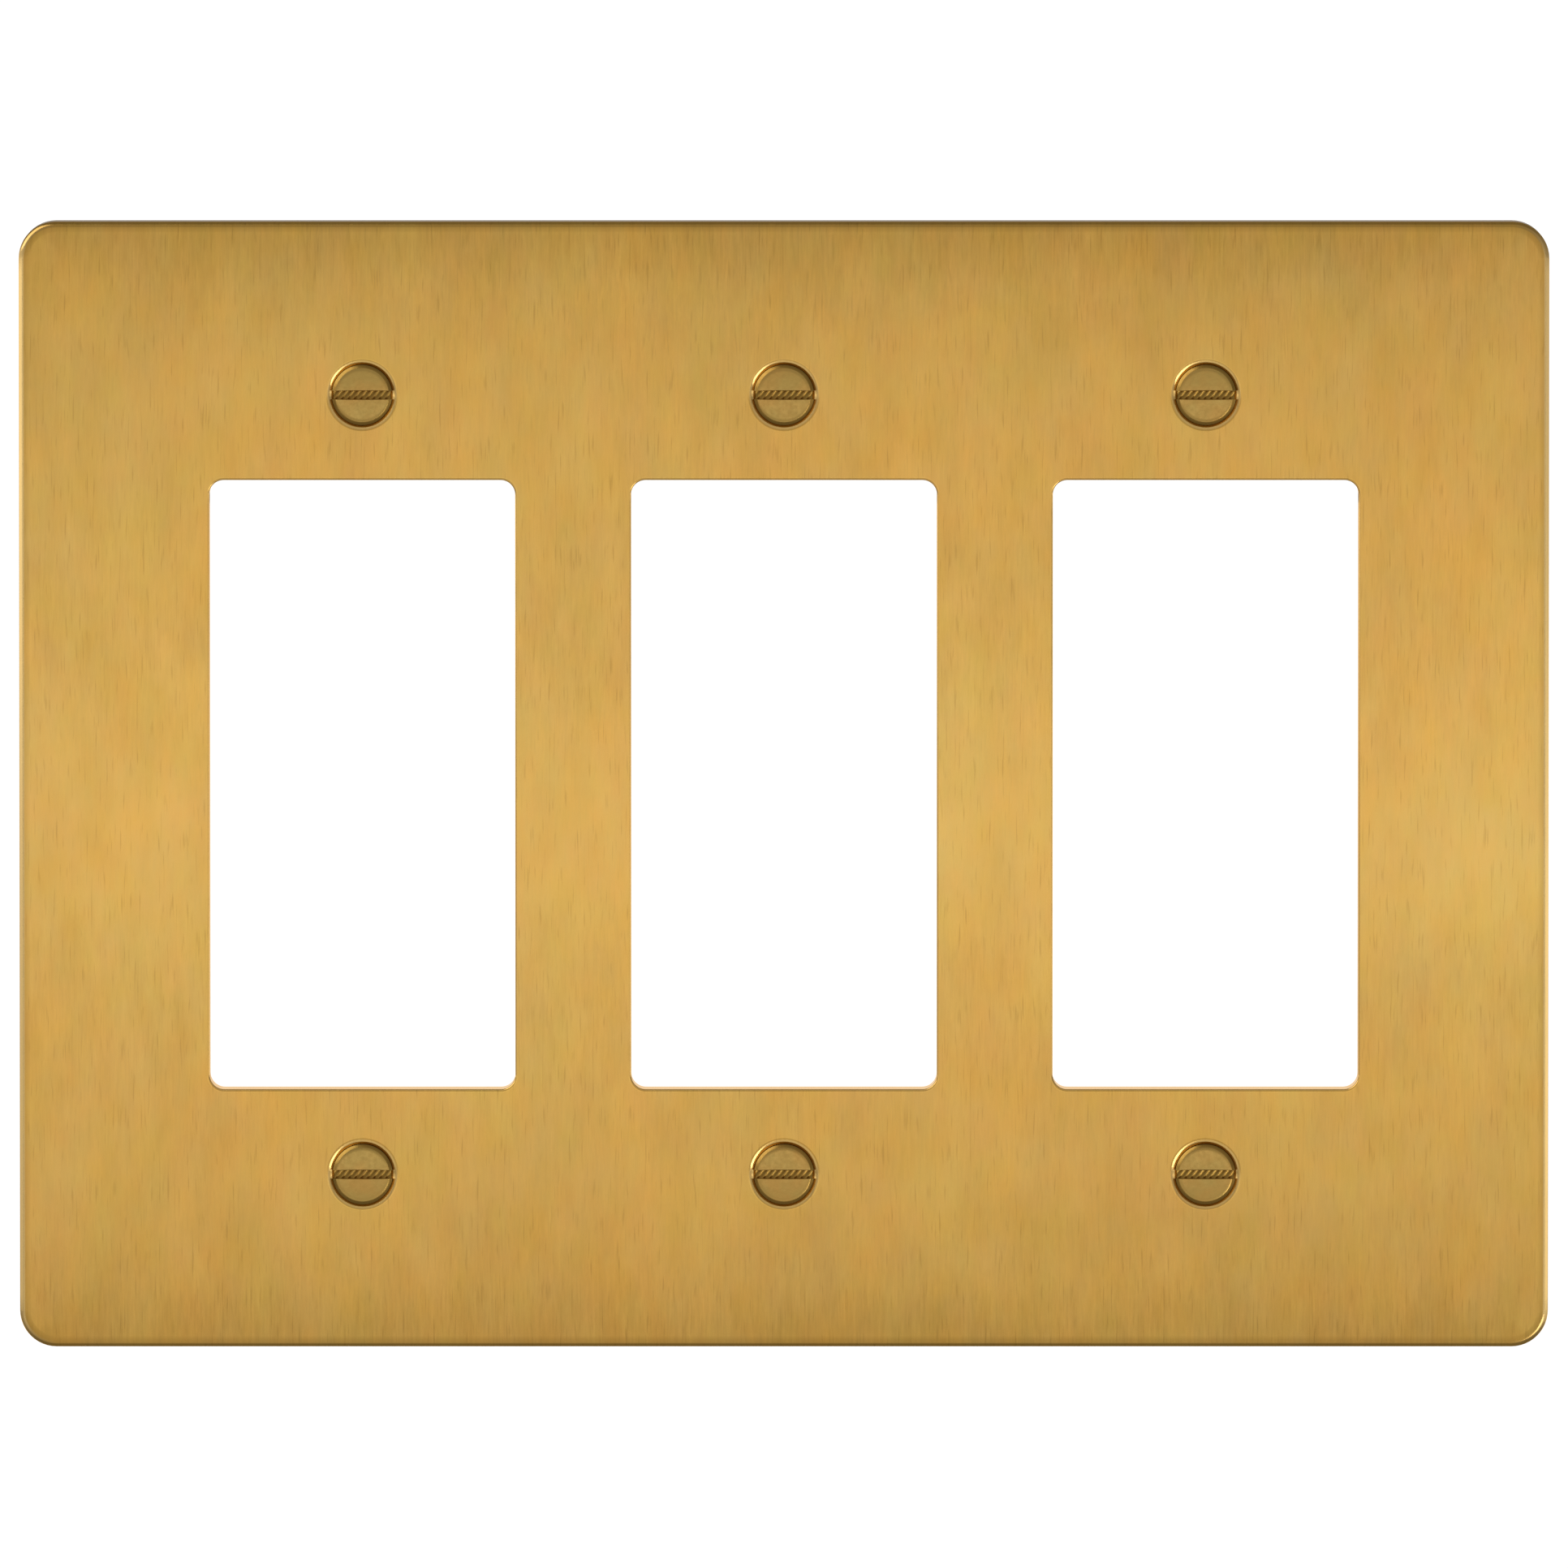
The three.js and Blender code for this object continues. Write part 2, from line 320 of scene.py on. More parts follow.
def retainer_nylon():
    """Moulded nylon, off-white, with a faint eggshell surface."""
    s = Shader("retainer_nylon")
    fine = s.noise(s.scaled(3200, 3200, 3200), detail=2)
    flow = s.noise(s.scaled(500, 500, 500), detail=3)
    colour = s.mix(s.ramp(flow, 0.3, 0.7), NYLON_PALE, NYLON_DEEP)
    roughness = s.ramp(fine, 0.3, 0.7, 0.45, 0.6)
    s.surface.inputs["Subsurface Weight"].default_value = 0.15
    s.surface.inputs["Subsurface Radius"].default_value = (0.001, 0.001, 0.0008)
    return s.finish(colour, roughness, s.bump(fine, 8e-6))


def floor_paint():
    """A pale, matt studio floor that glows a little by itself, so that it stays pale all over."""
    s = Shader("floor_paint")
    grain = s.noise(s.scaled(300, 300, 300), detail=3)
    colour = s.mix(grain, FLOOR_DEEP, FLOOR_PALE)
    s.surface.inputs["Emission Color"].default_value = WHITE
    s.surface.inputs["Emission Strength"].default_value = FLOOR_GLOW
    return s.finish(colour, 0.8, s.bump(grain, 2e-5))


# Meshes --------------------------------------------------------------------------------------


def rounded_loop(centre_x, width, height, corner, spacing):
    """A rounded rectangle's outline as (core point, outward direction) pairs, anticlockwise.

    A ring at offset r has each point at core + r * direction, so offset corner is the outline.
    """
    quarter_steps = 12
    half_x, half_z = width / 2 - corner, height / 2 - corner
    cores = [Vector((x * half_x, z * half_z)) for x, z in ((1, 1), (-1, 1), (-1, -1), (1, -1))]
    loop = []
    for quarter, core in enumerate(cores):
        following = cores[(quarter + 1) % 4]
        for step in range(quarter_steps + 1):
            angle = (quarter + step / quarter_steps) * math.pi / 2
            loop.append((core, Vector((math.cos(angle), math.sin(angle)))))
        outward = loop[-1][1]
        count = max(1, round((following - core).length / spacing))
        loop += [(core + (following - core) * (i / count), outward) for i in range(1, count)]
    shift = Vector((centre_x, 0))
    return [(core + shift, outward) for core, outward in loop]


def round_loop(centre, steps):
    """A circle in the same form as rounded_loop's outline, with every core point at its centre."""
    core = Vector((centre.x, centre.z))
    angles = [2 * math.pi * step / steps for step in range(steps)]
    return [(core, Vector((math.cos(angle), math.sin(angle)))) for angle in angles]


def curve(start, end, steps=6, along_offset=True):
    """A quarter of an ellipse between two (offset, y) places, without its start.

    It leaves start along the offset, or along y, and arrives the other way.
    """
    points = []
    for step in range(1, steps + 1):
        angle = step / steps * math.pi / 2
        gentle, quick = 1 - math.cos(angle), math.sin(angle)
        by_offset, by_y = (quick, gentle) if along_offset else (gentle, quick)
        offset = start[0] + (end[0] - start[0]) * by_offset
        points.append((offset, start[1] + (end[1] - start[1]) * by_y))
    return points


def crown(x, z):
    """How far the face sinks at a place, from nothing inside to CROWN_DEPTH at the edges."""
    from_side = (PLATE_WIDTH / 2 - abs(x)) / CROWN_FROM_SIDE
    from_top = (PLATE_HEIGHT / 2 - abs(z)) / CROWN_FROM_TOP
    nearest = min(from_side, from_top)
    return CROWN_DEPTH * max(0.0, 1 - nearest) ** 2


def settled(x, y, z):
    """A point of the plate after the crown, which fades out behind the face."""
    fade = max(0.0, 1 - (y - FACE_Y) / CROWN_FADE)
    return Vector((x, y + fade * crown(x, z), z))


def join_rings(bm, rings):
    """Quads between each ring of vertices and the next."""
    count = len(rings[0])
    for near, far in zip(rings, rings[1:]):
        for i in range(count):
            following = (i + 1) % count
            bm.faces.new((near[i], near[following], far[following], far[i]))


def sweep(bm, loop, profile, finish):
    """Rings of vertices at each (offset, y) of a profile, joined by quads. Returns the rings.

    finish gives a vertex's value in each layer, from its offset, its y and the outward direction.
    """
    rings = []
    for offset, y in profile:
        ring = []
        for core, outward in loop:
            flat = core + outward * offset
            vertex = bm.verts.new(settled(flat.x, y, flat.y))
            for layer, value in finish(offset, y, outward).items():
                vertex[layer] = value
            ring.append(vertex)
        rings.append(ring)
    join_rings(bm, rings)
    return rings


def depth_in_rectangle(x, z, centre_x, half_x, half_z, corner):
    """How deep a point lies in a rounded rectangle, below 0 outside it."""
    over_x, over_z = abs(x - centre_x) - half_x + corner, abs(z) - half_z + corner
    outside = math.hypot(max(over_x, 0), max(over_z, 0))
    return corner - outside - min(max(over_x, over_z), 0)


def patch(bm, rings, depth, y, spacing, finish):
    """Fills the flat region between rings with triangles over a grid of points.

    depth says how far inside the region a point lies, and finish the value in each layer.
    """
    border = [vertex for ring in rings for vertex in ring]
    points = [Vector((vertex.co.x, vertex.co.z)) for vertex in border]
    edges = []
    first = 0
    for ring in rings:
        edges += [(first + i, first + (i + 1) % len(ring)) for i in range(len(ring))]
        first += len(ring)
    columns, rows = round(PLATE_WIDTH / spacing), round(PLATE_HEIGHT / spacing)
    for column in range(1, columns):
        for row in range(1, rows):
            x = PLATE_LOW.x + PLATE_WIDTH * column / columns
            z = PLATE_LOW.z + PLATE_HEIGHT * row / rows
            if depth(x, z) > spacing * 0.55:
                points.append(Vector((x, z)))
    made = delaunay_2d_cdt([point / MM for point in points], edges, [], 0, 1e-6)
    flat, triangles, sources = made[0], made[2], made[3]
    vertices = []
    for point, source in zip(flat, sources):
        if source[0] < len(border):
            vertices.append(border[source[0]])
        else:
            vertex = bm.verts.new(settled(point.x * MM, y, point.y * MM))
            for layer, value in finish.items():
                vertex[layer] = value
            vertices.append(vertex)
    for triangle in triangles:
        centre = sum((flat[i] for i in triangle), Vector((0, 0))) / 3 * MM
        if depth(centre.x, centre.y) > 0:
            bm.faces.new([vertices[i] for i in triangle])


def to_piece(bm, name, material):
    """A bmesh as an object of its own, with outward faces and flats that shade flat."""
    bmesh.ops.recalc_face_normals(bm, faces=bm.faces)
    mesh = bpy.data.meshes.new(name)
    bm.to_mesh(mesh)
    bm.free()
    mesh.materials.append(material)
    mesh.polygons.foreach_set("use_smooth", [True] * len(mesh.polygons))
    mesh.set_sharp_from_angle(angle=math.radians(40))
    piece = bpy.data.objects.new(name, mesh)
    bpy.context.scene.collection.objects.link(piece)
    weighted = piece.modifiers.new("even_normals", "WEIGHTED_NORMAL")
    weighted.weight = 60
    weighted.keep_sharp = True
    return piece


# Plate ---------------------------------------------------------------------------------------


def outer_profile():
    """Round the outside: the face's margin, the edge, the side, the rim and the hollow's wall."""
    inner = PLATE_CORNER - RIM_WALL
    edge_start = (PLATE_CORNER - EDGE_RADIUS, FACE_Y)
    profile = [(PLATE_CORNER - inset, FACE_Y) for inset in CROWN_RINGS]
    profile += [edge_start, *curve(edge_start, (PLATE_CORNER, FACE_Y + EDGE_RADIUS), steps=8)]
    profile += [(PLATE_CORNER, WALL_Y - SMALL_EDGE), (PLATE_CORNER - SMALL_EDGE, WALL_Y)]
    profile += [(inner + SMALL_EDGE, WALL_Y), (inner, WALL_Y - SMALL_EDGE)]
    wall_end = (inner, FACE_BACK_Y + BACK_FILLET)
    fillet_end = (inner - BACK_FILLET, FACE_BACK_Y)
    profile += [wall_end, *curve(wall_end, fillet_end, along_offset=False)]
    return profile + [(inner - BACK_FILLET - MARGIN, FACE_BACK_Y)]


def window_profile():
    """Round a window: its front edge, its wall, the lip's back and the lip's outside."""
    lip = WINDOW_CORNER + LIP_WALL
    start = (WINDOW_CORNER + WINDOW_EDGE, FACE_Y)
    profile = [(start[0] + MARGIN, FACE_Y), start]
    profile += curve(start, (WINDOW_CORNER, FACE_Y + WINDOW_EDGE), steps=5)
    profile += [(WINDOW_CORNER, LIP_BACK_Y - SMALL_EDGE), (WINDOW_CORNER + SMALL_EDGE, LIP_BACK_Y)]
    profile += [(lip - SMALL_EDGE, LIP_BACK_Y), (lip, LIP_BACK_Y - SMALL_EDGE)]
    wall_end = (lip, FACE_BACK_Y + BACK_FILLET)
    profile += [wall_end, *curve(wall_end, (lip + BACK_FILLET, FACE_BACK_Y), along_offset=False)]
    return profile + [(lip + BACK_FILLET + MARGIN, FACE_BACK_Y)]


def seat_profile():
    """Round a screw seat: its lip, the countersink, the hole, the boss's back and its outside."""
    lip_end = (SEAT_MOUTH, FACE_Y + SEAT_LIP_DEPTH)
    cone_end = (CLEARANCE_HOLE, lip_end[1] + (SEAT_MOUTH - CLEARANCE_HOLE) / CONE_SLOPE)
    profile = [(SEAT_LIP + MARGIN, FACE_Y), (SEAT_LIP, FACE_Y)]
    profile += [(SEAT_LIP - 0.05 * MM, FACE_Y + 0.01 * MM)]
    profile += [(SEAT_MOUTH + 0.05 * MM, lip_end[1] - 0.06 * MM), lip_end]
    profile += [cone_end, (CLEARANCE_HOLE, BOSS_BACK_Y - SMALL_EDGE)]
    profile += [(CLEARANCE_HOLE + SMALL_EDGE, BOSS_BACK_Y), (BOSS_RADIUS - SMALL_EDGE, BOSS_BACK_Y)]
    wall_end = (BOSS_RADIUS, FACE_BACK_Y + BACK_FILLET)
    fillet_end = (BOSS_RADIUS + BACK_FILLET, FACE_BACK_Y)
    profile += [(BOSS_RADIUS, BOSS_BACK_Y - SMALL_EDGE), wall_end]
    profile += curve(wall_end, fillet_end, along_offset=False)
    return profile + [(fillet_end[0] + MARGIN, FACE_BACK_Y)]


def holes():
    """Each window and each screw seat, as its loop and its profile."""
    found = [
        (rounded_loop(x, WINDOW_WIDTH, WINDOW_HEIGHT, WINDOW_CORNER, FACE_SPACING), window_profile())
        for x in WINDOW_CENTRES
    ]
    return found + [(round_loop(centre, 56), seat_profile()) for centre in SCREW_CENTRES]


def edge_light_and_finish(layers):
    """Painted light round the outside: a painted highlight with the polish at the sides, painted shade
    above and below, most at the corners, a painted shade line where the edge starts, and cast behind.
    """
    polish_and_highlight, cast, dark = layers

    def finish(offset, y, outward):
        sideways, upright = abs(outward.x), abs(outward.y)
        on_edge = FACE_Y < y < FACE_Y + EDGE_RADIUS
        at_start = offset == PLATE_CORNER - EDGE_RADIUS
        behind = offset < PLATE_CORNER - SMALL_EDGE and y > FACE_Y + EDGE_RADIUS
        # Painted shade on the top and bottom edges, more towards the corners, and a painted shade line
        # where the edge starts
        level_shade = upright * (LEVEL_EDGE_SHADE + CORNER_SHADE * sideways)
        return {
            polish_and_highlight: SIDE_EDGE_POLISH_AND_HIGHLIGHT * on_edge * sideways,
            cast: float(behind),
            dark: EDGE_START_SHADE * at_start + on_edge * level_shade,
        }

    return finish


def hole_light_and_finish(layers, profile):
    """The finish of a window or a seat: polish with a painted highlight at its edge, cast behind, and
    painted shade in a seat's countersink.
    """
    polish_and_highlight, cast, dark = layers
    wall = min(offset for offset, _ in profile)
    is_seat = wall == CLEARANCE_HOLE
    shine = SEAT_EDGE_POLISH_AND_HIGHLIGHT if is_seat else WINDOW_EDGE_POLISH_AND_HIGHLIGHT

    def finish(offset, y, _):
        behind = y > FACE_BACK_Y and offset > wall or y == FACE_BACK_Y
        # Painted shade in a seat's countersink, the hollow under the screw head
        sunk = is_seat and SEAT_LIP_DEPTH <= y - FACE_Y and offset <= SEAT_MOUTH
        # A polished lip or window edge, which also carries a painted highlight
        shiny = FACE_Y < y < FACE_Y + SEAT_LIP_DEPTH
        return {polish_and_highlight: shine * shiny, cast: float(behind), dark: COUNTERSINK_SHADE * sunk}

    return finish


def sheet_region(inset, window_offset, seat_radius):
    """A function for how deep a point lies between an inset outline, the windows and the seats."""

    def depth(x, z):
        half_x, half_z = PLATE_WIDTH / 2 - inset, PLATE_HEIGHT / 2 - inset
        depths = [depth_in_rectangle(x, z, 0, half_x, half_z, PLATE_CORNER - inset)]
        for centre_x in WINDOW_CENTRES:
            half_x = WINDOW_WIDTH / 2 + window_offset - WINDOW_CORNER
            half_z = WINDOW_HEIGHT / 2 + window_offset - WINDOW_CORNER
            depths.append(-depth_in_rectangle(x, z, centre_x, half_x, half_z, window_offset))
        for centre in SCREW_CENTRES:
            depths.append(math.hypot(x - centre.x, z - centre.z) - seat_radius)
        return min(depths)

    return depth


def faceplate():
    """The whole plate as one closed mesh.

    It has a front sheet and a back sheet, joined by a sweep round the outside, each window and
    each screw seat.
    """
    bm = bmesh.new()
    # Layers for polish with a painted highlight, for the cast back, and for painted shade
    layers = [bm.verts.layers.float.new(name) for name in ("polish_and_highlight", "cast", "painted_shade")]
    cast = layers[1]
    outline = rounded_loop(0, PLATE_WIDTH, PLATE_HEIGHT, PLATE_CORNER, FACE_SPACING)
    swept = [sweep(bm, outline, outer_profile(), edge_light_and_finish(layers))]
    swept += [sweep(bm, loop, profile, hole_light_and_finish(layers, profile)) for loop, profile in holes()]
    fronts = [rings[0] for rings in swept]
    backs = [rings[-1] for rings in swept]
    seam = WINDOW_EDGE + MARGIN
    front = sheet_region(CROWN_RINGS[0], WINDOW_CORNER + seam, SEAT_LIP + MARGIN)
    patch(bm, fronts, front, FACE_Y, FACE_SPACING, {cast: 0.0})
    seam = BACK_FILLET + MARGIN
    back = sheet_region(RIM_WALL + seam, WINDOW_CORNER + LIP_WALL + seam, BOSS_RADIUS + seam)
    patch(bm, backs, back, FACE_BACK_Y, BACK_SPACING, {cast: 1.0})
    piece = to_piece(bm, "brass_faceplate", plate_brass())
    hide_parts("faceplate")
    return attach(piece, "plate")


# Screws --------------------------------------------------------------------------------------


def thread_radius(y, angle, start, end):
    """The radius of a right-hand thread at a place on its axis, run out smoothly at both ends."""
    phase = ((y - start) / PITCH + angle / (2 * math.pi)) % 1
    ridge = max(0.0, min(1.0, 1.35 - 2.7 * abs(phase - 0.5)))
    run_out = max(0.0, min(1.0, (y - start) / PITCH, (end - y) / (0.6 * PITCH)))
    return THREAD_MINOR + (THREAD_MAJOR - THREAD_MINOR) * ridge * run_out


def head_profile():
    """The head from its centre to the start of the thread, as (radius, y)."""
    top = FACE_Y - HEAD_CROWN
    dome = 0.04 * MM
    bevel_end = top + dome + (HEAD_RIM - HEAD_FLAT) * math.tan(HEAD_BEVEL)
    flat = HEAD_FLAT - 0.03 * MM
    profile = [(flat * step / 8, top + dome * (step / 8) ** 2) for step in range(1, 9)]
    profile += [(HEAD_FLAT, top + dome + 0.01 * MM), (HEAD_RIM - 0.03 * MM, bevel_end - 0.03 * MM)]
    profile += [(HEAD_RIM, bevel_end), (HEAD_RIM, FACE_Y + HEAD_LAND)]
    cone_depth = (HEAD_RIM - THREAD_MINOR) / CONE_SLOPE
    for step in range(1, 5):
        share = step / 4
        radius = HEAD_RIM + (THREAD_MINOR - HEAD_RIM) * share
        profile.append((radius, FACE_Y + HEAD_LAND + cone_depth * share))
    return profile


def screw_body():
    """A screw without its slot, about its own axis."""
    steps = 48
    profile = head_profile()
    start = profile[-1][1]
    end = SCREW_TIP_Y - POINT_LENGTH
    rows = round((end - start) / PITCH * 9)
    bm = bmesh.new()
    rings = []

    def ring(radius_at, y):
        angles = [2 * math.pi * step / steps for step in range(steps)]
        rings.append([
            bm.verts.new((radius_at(a) * math.cos(a), y, radius_at(a) * math.sin(a))) for a in angles
        ])

    for radius, y in profile:
        ring(lambda angle: radius, y)
    for row in range(1, rows + 1):
        y = start + (end - start) * row / rows
        ring(lambda angle: thread_radius(y, angle, start, end), y)
    for share in (0.35, 0.7, 1.0):
        radius = THREAD_MINOR - 0.45 * MM * share ** 1.5
        y = end + POINT_LENGTH * share
        ring(lambda angle: radius, y)
    join_rings(bm, rings)
    for y, end_ring in ((FACE_Y - HEAD_CROWN, rings[0]), (SCREW_TIP_Y, rings[-1])):
        centre = bm.verts.new((0, y, 0))
        for i in range(steps):
            bm.faces.new((end_ring[i], end_ring[(i + 1) % steps], centre))
    return bm


def slot_mark(x, z):
    """How high the tool marks on the slot's floor stand at a place, from 0 to 1."""
    phase = 2 * math.pi * (x - MARK_SLANT * z) / MARK_PITCH
    return 0.5 + 0.5 * math.cos(phase)


def slot_cutter():
    """What the slot takes out of the head: a bar with tool marks under it and a chamfer above."""
    length, columns, rows = 2.2 * HEAD_RIM, 140, 12
    top = FACE_Y - HEAD_CROWN
    bm = bmesh.new()
    grid = []
    for column in range(columns + 1):
        x = length * (column / columns - 0.5)
        places = [(x, SLOT_WIDTH * (row / rows - 0.5)) for row in range(rows + 1)]
        grid.append([
            bm.verts.new((x, top + SLOT_DEPTH - MARK_HEIGHT * slot_mark(x, z), z)) for x, z in places
        ])
    for near, far in zip(grid, grid[1:]):
        for i in range(rows):
            bm.faces.new((near[i], near[i + 1], far[i + 1], far[i]))
    border = [line[0] for line in grid] + grid[-1][1:]
    border += [line[-1] for line in reversed(grid[:-1])] + grid[0][-2:0:-1]
    wider = 1 + 2 * SLOT_CHAMFER / SLOT_WIDTH
    rings = [border]
    for y, stretch in ((top + SLOT_CHAMFER, 1), (top, wider), (top - 1 * MM, wider)):
        rings.append([bm.verts.new((point.co.x, y, point.co.z * stretch)) for point in border])
    join_rings(bm, rings)
    bm.faces.new(rings[-1])
    return bm


def cut_with(piece, cutter):
    """piece with cutter's shape taken out of it, as a plain mesh."""
    modifier = piece.modifiers.new("cut", "BOOLEAN")
    modifier.operation = "DIFFERENCE"
    modifier.solver = "EXACT"
    modifier.object = cutter
    graph = bpy.context.evaluated_depsgraph_get()
    mesh = bpy.data.meshes.new_from_object(piece.evaluated_get(graph))
    bpy.data.objects.remove(piece)
    bpy.data.objects.remove(cutter)
    return mesh


def bare_object(bm, name):
    """A bmesh as an object with outward faces and nothing else, to cut or to cut with."""
    bmesh.ops.recalc_face_normals(bm, faces=bm.faces)
    mesh = bpy.data.meshes.new(name)
    bm.to_mesh(mesh)
    bm.free()
    piece = bpy.data.objects.new(name, mesh)
    bpy.context.scene.collection.objects.link(piece)
    return piece


def painted_shade(x, y, z):
    """How much painted shade darkens a screw's brass: most between the slot's tool marks, less on them
    and on the bevel; the lighter mark tops are a painted highlight.
    """
    sunk = y - (FACE_Y - HEAD_CROWN)
    if abs(z) < 0.502 * SLOT_WIDTH and 1.5 * SLOT_CHAMFER < sunk < SLOT_DEPTH + 0.01 * MM:
        return 0.85 - 0.3 * slot_mark(x, z)
    return 0.65 if math.hypot(x, z) > HEAD_FLAT - 0.01 * MM and y < FACE_Y + HEAD_LAND else 0.0


def screws():
    """Six copies of one slotted screw, each on its own body."""
    material = screw_brass()
    slotted = cut_with(bare_object(screw_body(), "blank"), bare_object(slot_cutter(), "slot"))
    for place, centre in zip(PLACES, SCREW_CENTRES):
        bm = bmesh.new()
        bm.from_mesh(slotted)
        bmesh.ops.remove_doubles(bm, verts=bm.verts, dist=2e-6)
        # Painted shade in the slot and on the bevel, with less on the tool marks as a painted highlight
        dark = bm.verts.layers.float.new("painted_shade")
        for vertex in bm.verts:
            vertex[dark] = painted_shade(*vertex.co)
            vertex.co += Vector((centre.x, 0, centre.z))
        piece = to_piece(bm, f"brass_screw_{place}", material)
        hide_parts(f"screw_{place}")
        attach(piece, f"screw_{place}")


# Retainers -----------------------------------------------------------------------------------


def retainer_profile(front, back):
    """A disc with a short hub behind it, as (radius, y), with each edge broken a little."""
    edge = 0.12 * MM
    disc_back = front + RETAINER_THICKNESS
    return [
        (RETAINER_BORE + edge, front),
        (RETAINER_RADIUS - edge, front),
        (RETAINER_RADIUS, front + edge),
        (RETAINER_RADIUS, disc_back - edge),
        (RETAINER_RADIUS - edge, disc_back),
        (RETAINER_HUB + edge, disc_back),
        (RETAINER_HUB, disc_back + edge),
        (RETAINER_HUB, back - edge),
        (RETAINER_HUB - edge, back),
        (RETAINER_BORE + edge, back),
        (RETAINER_BORE, back - edge),
        (RETAINER_BORE, front + edge),
    ]


def retainers():
    """Six moulded discs, each on its screw's thread."""
    material = retainer_nylon()
    steps = 48
    angles = [2 * math.pi * step / steps for step in range(steps)]
    for place in PLACES:
        low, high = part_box(f"retainer_{place}")
        centre = (low + high) / 2
        bm = bmesh.new()
        rings = []
        for radius, y in retainer_profile(low.y, high.y):
            rings.append([
                bm.verts.new((centre.x + radius * math.cos(a), y, centre.z + radius * math.sin(a)))
                for a in angles
            ])
        join_rings(bm, rings + rings[:1])
        piece = to_piece(bm, f"nylon_retainer_{place}", material)
        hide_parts(f"retainer_{place}")
        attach(piece, f"retainer_{place}")


# Studio --------------------------------------------------------------------------------------

CAMERA_DISTANCE = 3.0
CAMERA_RISE = 0.157
FRAME_WIDTH = 0.1712
SENSOR_WIDTH = 36
FLOOR_Z = -0.65
FLOOR_REACH = 6.0
FLOOR_GLOW = 0.35
BACKDROP_Y = 4.5
BACKDROP_HALF_WIDTH = 1.2
BACKDROP_TOP = 0.9
BACKDROP_GLOW = 1.05
WORLD_LIGHT = 0.35
WORLD_SEEN = 0.63
WARM_LIGHT = (1.0, 0.97, 0.88)
COOL_LIGHT = (0.96, 1.0, 1.25)
STRIP_LIGHT = (0.9, 1.22, 1.8)
BOUNCED_LIGHT = (1.0, 0.82, 0.5)


def camera():
    """A long lens that looks down on the face by three degrees."""
    target = Vector((0, FACE_Y, 0.1 * MM))
    data = bpy.data.cameras.new("camera")
    data.sensor_width = SENSOR_WIDTH
    made = bpy.data.objects.new("camera", data)
    made.location = target + Vector((0, -CAMERA_DISTANCE, CAMERA_RISE))
    away = made.location - target
    data.lens = SENSOR_WIDTH * away.length / FRAME_WIDTH
    made.rotation_euler = away.to_track_quat("Z", "Y").to_euler()
    data.clip_start, data.clip_end = 0.05, 20
    bpy.context.scene.collection.objects.link(made)
    bpy.context.scene.camera = made


def area_light(name, place, target, width, height, radiance, colour=(1, 1, 1)):
    """A rectangular softbox of an even brightness, which the camera itself doesn't see."""
    data = bpy.data.lights.new(name, "AREA")
    data.shape = "RECTANGLE"
    data.size, data.size_y = width, height
    data.energy = radiance * math.pi * width * height
    data.color = colour
    light = bpy.data.objects.new(name, data)
    light.location = place
    light.rotation_euler = (Vector(place) - Vector(target)).to_track_quat("Z", "Y").to_euler()
    light.visible_camera = False
    bpy.context.scene.collection.objects.link(light)


def flat_sheet(name, corners, material):
    """One flat face of the stage, which the plate doesn't mirror."""
    bm = bmesh.new()
    bm.faces.new([bm.verts.new(corner) for corner in corners])
    mesh = bpy.data.meshes.new(name)
    bm.to_mesh(mesh)
    bm.free()
    mesh.materials.append(material)
    sheet = bpy.data.objects.new(name, mesh)
    bpy.context.scene.collection.objects.link(sheet)
    sheet.visible_glossy = False


def backdrop_glow():
    """Plain white light, for the backdrop."""
    material = bpy.data.materials.new("backdrop_glow")
    material.use_nodes = True
    surface = material.node_tree.nodes["Principled BSDF"]
    surface.inputs["Base Color"].default_value = (0, 0, 0, 1)
    surface.inputs["Emission Color"].default_value = WHITE
    surface.inputs["Emission Strength"].default_value = BACKDROP_GLOW
    return material


def stage():
    """A pale floor and a white backdrop, which stands beyond where any view looks from."""
    signs = ((-1, -1), (1, -1), (1, 1), (-1, 1))
    floor = [(x * FLOOR_REACH, y * FLOOR_REACH, FLOOR_Z) for x, y in signs]
    flat_sheet("floor", floor, floor_paint())
    backdrop = [
        (x * BACKDROP_HALF_WIDTH, BACKDROP_Y, FLOOR_Z if z < 0 else BACKDROP_TOP) for x, z in signs
    ]
    flat_sheet("backdrop", backdrop, backdrop_glow())


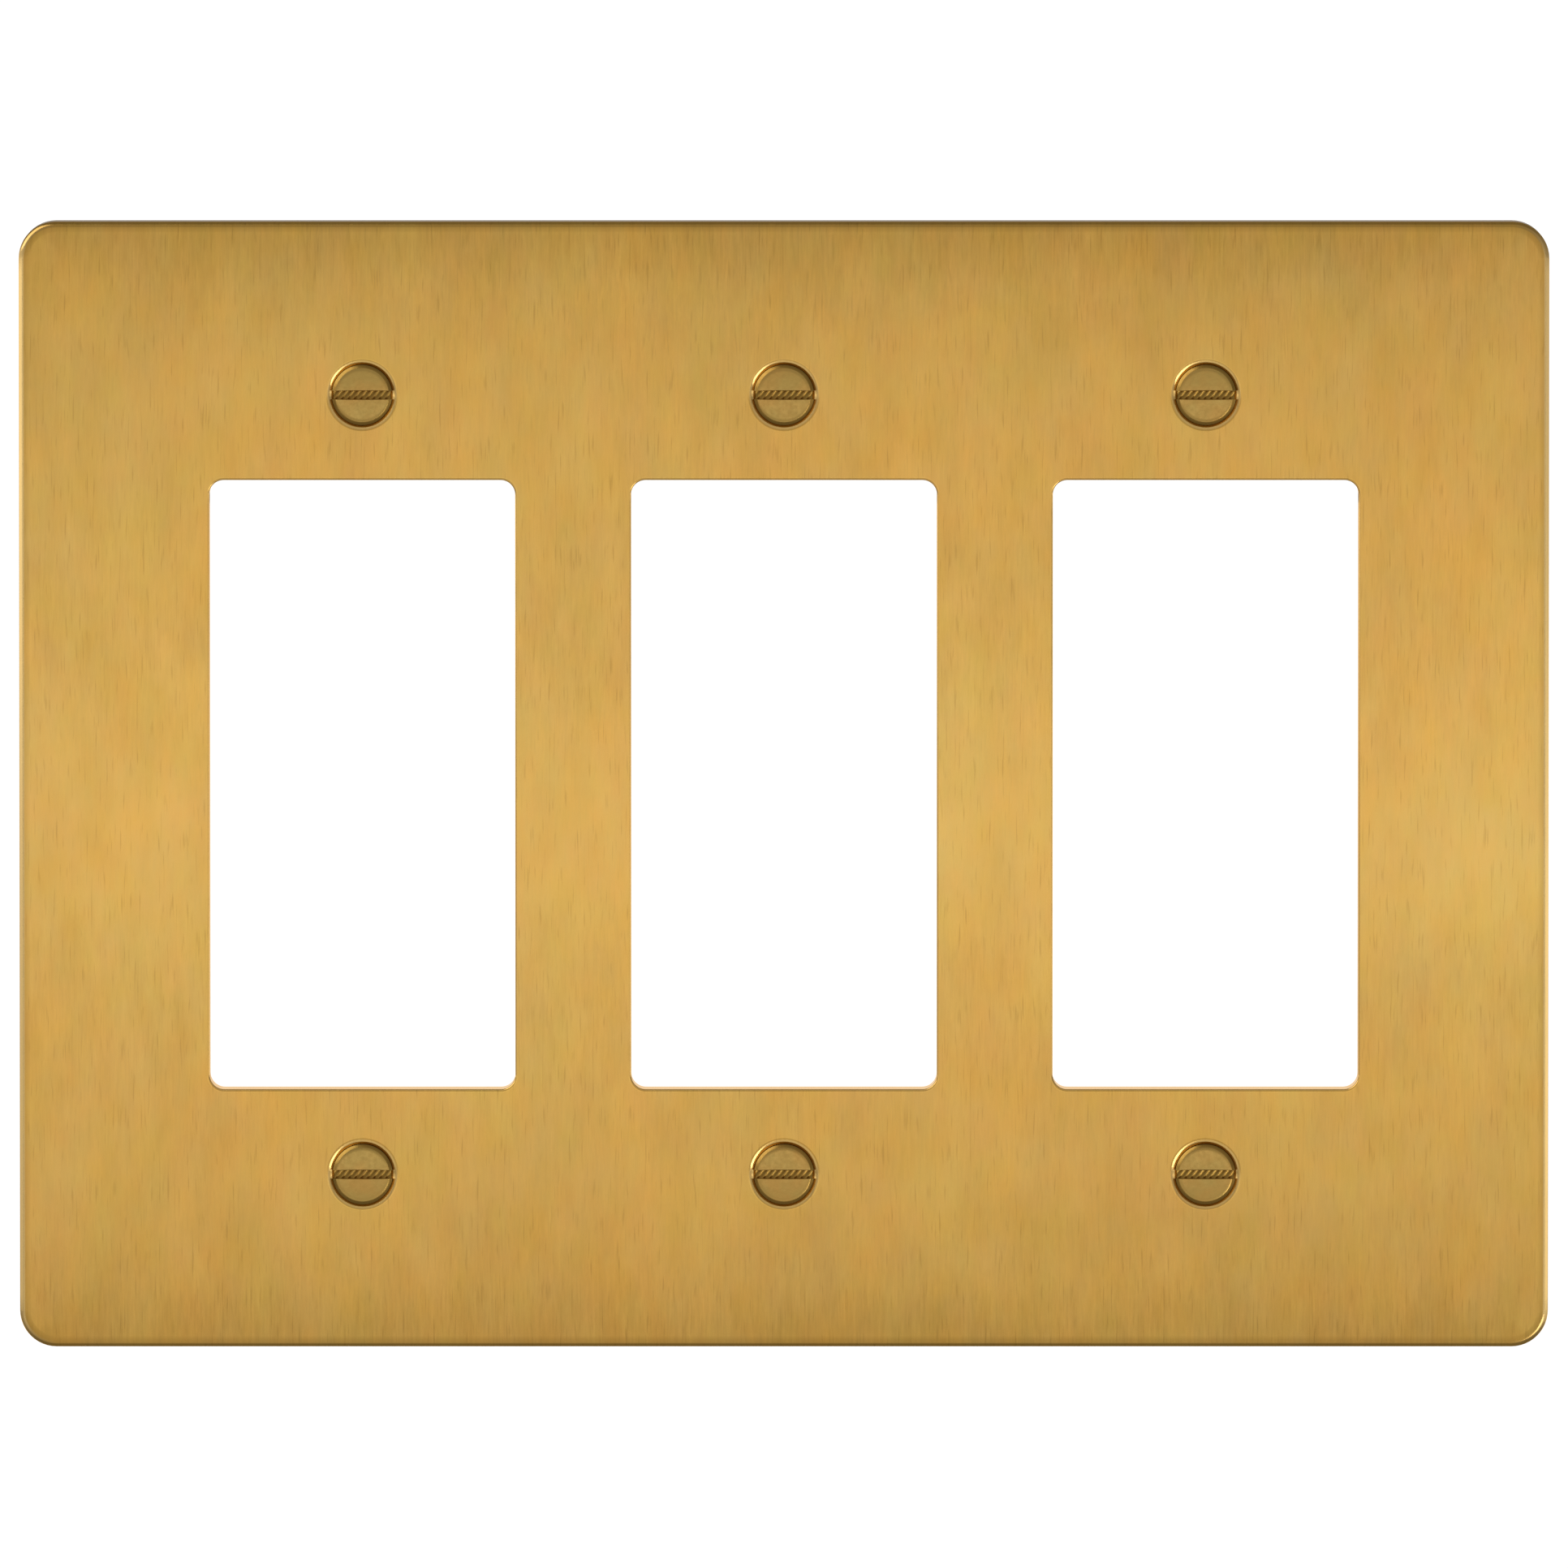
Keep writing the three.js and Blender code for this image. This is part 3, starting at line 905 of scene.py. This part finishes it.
def lights():
    """Softboxes round the plate. Their brightness adds up where one stands in front of another."""
    plate = (0, 0, 0)
    mirror_z = -1.45 * CAMERA_RISE / CAMERA_DISTANCE
    # The face mirrors these three, each inside the one before
    area_light("front_wide", (0, -1.47, mirror_z), plate, 1.8, 0.6, 0.30, WARM_LIGHT)
    area_light("front", (0, -1.45, mirror_z), plate, 0.9, 0.162, 0.34, COOL_LIGHT)
    area_light("strip", (0, -1.43, mirror_z - 0.006), plate, 0.9, 0.03, 0.25, STRIP_LIGHT)
    # The upper left of the screws, and the face as other views see it
    area_light("key", (-0.7, -0.3, 0.65), plate, 0.9, 0.9, 2.2)
    area_light("overhead", (0, -0.7, 0.5), plate, 2.0, 0.75, 0.22)
    area_light("underneath", (0, -0.75, -0.5), plate, 2.4, 0.6, 0.35)
    area_light("low_right", (0.5, -0.85, -0.38), plate, 0.35, 0.35, 3.5)
    # The pale strips along the plate's left and right edges
    for side, middle_z, bright_z in ((-1, 0.1, 0.0), (1, -0.2, -0.09)):
        area_light("side", (side, 0.6, middle_z), (0, 0.6, middle_z), 3.4, 0.5, 0.35)
        area_light("side_strip", (0.99 * side, 0.6, bright_z), (0, 0.6, bright_z), 3.4, 0.09, 0.55)
    # The walls of the windows, and the back of the plate
    area_light("behind", (0, 0.25, -0.02), plate, 0.17, 0.08, 0.7, BOUNCED_LIGHT)
    area_light("back", (0, 1.5, -0.42), plate, 1.8, 0.4, 1.6)


def surroundings():
    """An even white world. The camera sees it as pale as the floor, brighter than it shines."""
    world = bpy.data.worlds.new("studio")
    world.use_nodes = True
    nodes, links = world.node_tree.nodes, world.node_tree.links
    background = nodes["Background"]
    background.inputs["Color"].default_value = WHITE
    path = nodes.new("ShaderNodeLightPath")
    strength = nodes.new("ShaderNodeMapRange")
    strength.inputs["To Min"].default_value = WORLD_LIGHT
    strength.inputs["To Max"].default_value = WORLD_SEEN
    links.new(path.outputs["Is Camera Ray"], strength.inputs["Value"])
    links.new(strength.outputs["Result"], background.inputs["Strength"])
    bpy.context.scene.world = world
    bpy.context.scene.view_settings.view_transform = "Standard"


camera()
stage()
lights()
surroundings()
faceplate()
screws()
retainers()
